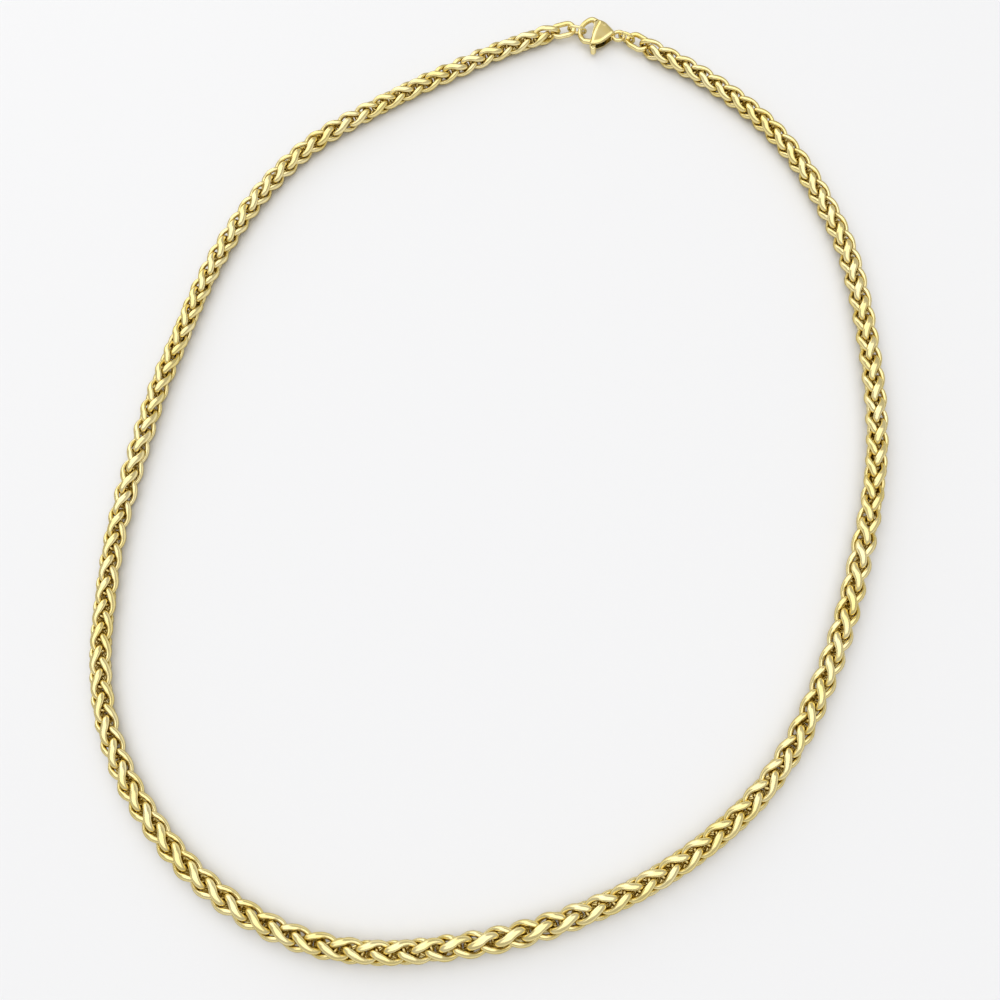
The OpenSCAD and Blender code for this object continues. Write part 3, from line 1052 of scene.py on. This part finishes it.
class NECKLACE_OT_clasp_lever(bpy.types.Operator):
    """Make the clasp's lever with its thumb tab"""

    bl_idname = "necklace.add_clasp_lever"
    bl_label = "Add Clasp Lever"

    # Grain in millimetres of the mesh that the lever's solids are melted into, and how many
    # times it is smoothed
    VOXEL = 0.04
    SMOOTHING = 8
    # Where the leg's upper end lies inside the blade, in millimetres along Y
    LEG_ROOT = -2.4
    # Radius of the thumb tab's eased edges, in millimetres
    TAB_EASE = 0.25

    def execute(self, context):
        size = millimetres(context.scene.necklace_clasp)
        low = HEAD_MID[1] - math.sqrt(size.head ** 2 - size.leg_at ** 2)
        tab_at = (size.leg_at, low - size.tab_reach)
        left, right = size.leg_at - size.leg / 2, size.leg_at + size.leg / 2
        foot, root = tab_at[1], self.LEG_ROOT
        leg = [(left, foot), (right, foot), (right, root), (left, root)]
        bore = size.pin / 2 + BORE_ROOM
        half = size.lever / 2
        lever = solid("clasp_lever_casting", [
            prism(self.blade(size), -half, half), prism(disc(PIVOT, bore + BOSS_WALL), -half, half),
            prism(leg, -half, half), self.tab(size, tab_at)])
        fuse(lever, self.VOXEL, self.SMOOTHING)
        cut(lever, solid("bore", [prism(disc(PIVOT, bore), -size.thick, size.thick)]))
        set_in_clasp(lever)
        gold = gold_material("lever_gold", CLASP_PATCHES, CLASP_SHADE_REACH, FINE_MARKS)
        finished(lever, "lever", "clasp_lever", gold)
        return {"FINISHED"}

    def blade(self, size):
        """Outline from the tip at the seam down the mouth's side to the leg, and back."""
        middle, along, across = seam_line(size)
        tip = middle + size.seam * across
        left, right = size.leg_at - size.leg / 2, size.leg_at + size.leg / 2
        boss = size.pin / 2 + BORE_ROOM + BOSS_WALL
        return [
            tip - BLADE_END[0] * along, *BLADE_FRONT,
            (left, BLADE_LOW), (right, BLADE_LOW), (right, BLADE_REAR),
            (PIVOT[0] + 0.55, PIVOT[1] - 0.5), (PIVOT[0] + 0.1, PIVOT[1] + boss),
            *BLADE_TOP, tip + BLADE_END[1] * along,
        ]

    def tab(self, size, at):
        """The thumb tab, round with eased edges."""
        return eased_prism(lambda inset: disc(at, size.tab - inset, 32), size.tab_thick / 2,
                           self.TAB_EASE, self.TAB_EASE, 5)


class NECKLACE_OT_clasp_pin(bpy.types.Operator):
    """Make the pivot pin with its slightly domed ends"""

    bl_idname = "necklace.add_clasp_pin"
    bl_label = "Add Clasp Pin"

    # How far the rim of the pin's domed ends lies below their middle, in millimetres
    DOME = 0.03

    def execute(self, context):
        size = millimetres(context.scene.necklace_clasp)
        rings = []
        for side in (-1, 1):
            for share in (0.15, 0.5, 0.8, 0.95, 1.0)[::-side]:
                height = side * (size.thick / 2 - self.DOME * share ** 4)
                rings.append(raised(disc(PIVOT, share * size.pin / 2, 24), height))
        pin = solid("clasp_pin_turned", [stack(rings)])
        mark_satin(pin, size.thick / 2)
        set_in_clasp(pin)
        gold = gold_material("pin_gold", CLASP_PATCHES, CLASP_SHADE_REACH, BRUSH_MARKS)
        add_satin(gold)
        finished(pin, "necklace", "clasp_pin", gold)
        return {"FINISHED"}


class NECKLACE_PT_panel(bpy.types.Panel):
    """Buttons for each group of pieces, with their sizes and colours"""

    bl_idname = "NECKLACE_PT_panel"
    bl_label = "Wheat Chain Necklace"
    bl_space_type = "VIEW_3D"
    bl_region_type = "UI"
    bl_category = "Necklace"

    def draw(self, context):
        layout = self.layout
        for operator in OPERATORS:
            layout.operator(operator.bl_idname)
        for group in GROUPS:
            box = layout.box()
            values = getattr(context.scene, group)
            for key in values.__annotations__:
                box.prop(values, key)


GROUPS = {
    "necklace_chain": ChainSizes,
    "necklace_rings": RingSizes,
    "necklace_clasp": ClaspSizes,
    "necklace_gold": GoldLooks,
    "necklace_stage": StageLooks,
}
OPERATORS = [
    NECKLACE_OT_stage, NECKLACE_OT_chain, NECKLACE_OT_end_links, NECKLACE_OT_rings,
    NECKLACE_OT_clasp_body, NECKLACE_OT_clasp_lever, NECKLACE_OT_clasp_pin,
]


def register():
    for name, group in GROUPS.items():
        bpy.utils.register_class(group)
        setattr(bpy.types.Scene, name, bpy.props.PointerProperty(type=group))
    for operator in OPERATORS:
        bpy.utils.register_class(operator)
    bpy.utils.register_class(NECKLACE_PT_panel)


def unregister():
    bpy.utils.unregister_class(NECKLACE_PT_panel)
    for operator in reversed(OPERATORS):
        bpy.utils.unregister_class(operator)
    for name, group in reversed(GROUPS.items()):
        delattr(bpy.types.Scene, name)
        bpy.utils.unregister_class(group)


def main():
    register()
    bpy.ops.necklace.add_stage()
    bpy.ops.necklace.add_chain()
    bpy.ops.necklace.add_end_links()
    bpy.ops.necklace.add_rings()
    bpy.ops.necklace.add_clasp_body()
    bpy.ops.necklace.add_clasp_lever()
    bpy.ops.necklace.add_clasp_pin()


if __name__ == "__main__":
    main()
